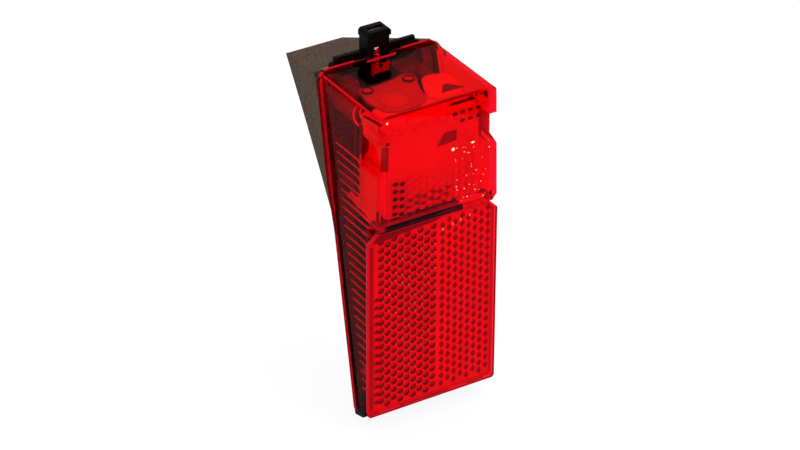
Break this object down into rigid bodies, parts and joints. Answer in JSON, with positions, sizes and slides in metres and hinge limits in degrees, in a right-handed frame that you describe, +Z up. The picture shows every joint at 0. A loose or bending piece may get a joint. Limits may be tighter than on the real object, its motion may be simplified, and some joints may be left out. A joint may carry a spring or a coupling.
{
  "type": "bicycle rear light",
  "caption": "Battery rear light for a bicycle mudguard with a red see-through lens, reflector plate, black press latch and wedge-shaped foot",
  "frame": {"origin": "Where the fixing stud leaves the pad on the back of the foot", "axes": "+X to the light's right seen from behind the bicycle, -Y out of the lens face, +Z up along the lens"},
  "size_m": [0.0458, 0.0718, 0.1179],
  "materials": {
    "red_lens": "clear red acrylic, polished",
    "red_reflector": "clear red acrylic with moulded prisms",
    "seal_rubber": "matt",
    "base_plastic": "spark-eroded grain",
    "foot_plastic": "spark-eroded grain",
    "pad_rubber": "matt",
    "stud_steel": "zinc plated",
    "screw_steel": "zinc plated",
    "hinge_plastic": "satin black",
    "pin_steel": "drawn wire",
    "latch_plastic": "satin black",
    "spring_steel": "bright wire",
    "bright_bowl": "metallised plastic",
    "board_green": "solder resist",
    "lamp_resin": "clear red epoxy",
    "chip_black": "moulded epoxy",
    "can_sleeve": "shrink sleeve",
    "tray_plastic": "satin black",
    "cell_sleeve": "printed foil without print",
    "contact_metal": "nickel plated",
    "button_rubber": "matt"
  },
  "bodies": {
    "base": {"lens_seal": "seal_rubber", "base_plate": "base_plastic", "foot_housing": "foot_plastic", "saddle_pad": "pad_rubber", "mount_stud": "stud_steel", "foot_screws": "screw_steel", "hinge_bar": "hinge_plastic", "hinge_pin": "pin_steel", "latch_spring": "spring_steel", "reflector_bowls": "bright_bowl", "lamp_board": "board_green", "lamps": "lamp_resin", "driver_chip": "chip_black", "buffer_capacitor": "can_sleeve", "board_screws": "screw_steel", "battery_tray": "tray_plastic", "battery_left": "cell_sleeve", "battery_right": "cell_sleeve", "bridge_contact": "contact_metal", "end_contacts": "contact_metal", "cell_springs": "spring_steel", "switch_body": "chip_black", "switch_board": "board_green"},
    "lens": {"lens_cover": "red_lens", "reflector_panel": "red_reflector"},
    "latch": {"release_latch": "latch_plastic"},
    "button": {"switch_button": "button_rubber"}
  },
  "joints": [
    {"name": "lens_hinge", "type": "hinge", "parent": "base", "child": "lens", "pos_m": [0, -0.03934, -0.04975], "axis": [1, 0, 0], "range_deg": [0, 70]},
    {"name": "latch_press", "type": "slide", "parent": "base", "child": "latch", "axis": [0, 0, 1], "range_m": [-0.002, 0], "stiffness_N_per_m": 400, "springref_m": 0.002, "deforming": ["latch_spring"]},
    {"name": "button_press", "type": "slide", "parent": "base", "child": "button", "axis": [-0.96, -0.2369, 0.1491], "range_m": [0, 0.0009], "stiffness_N_per_m": 600, "springref_m": -0.001}
  ]
}
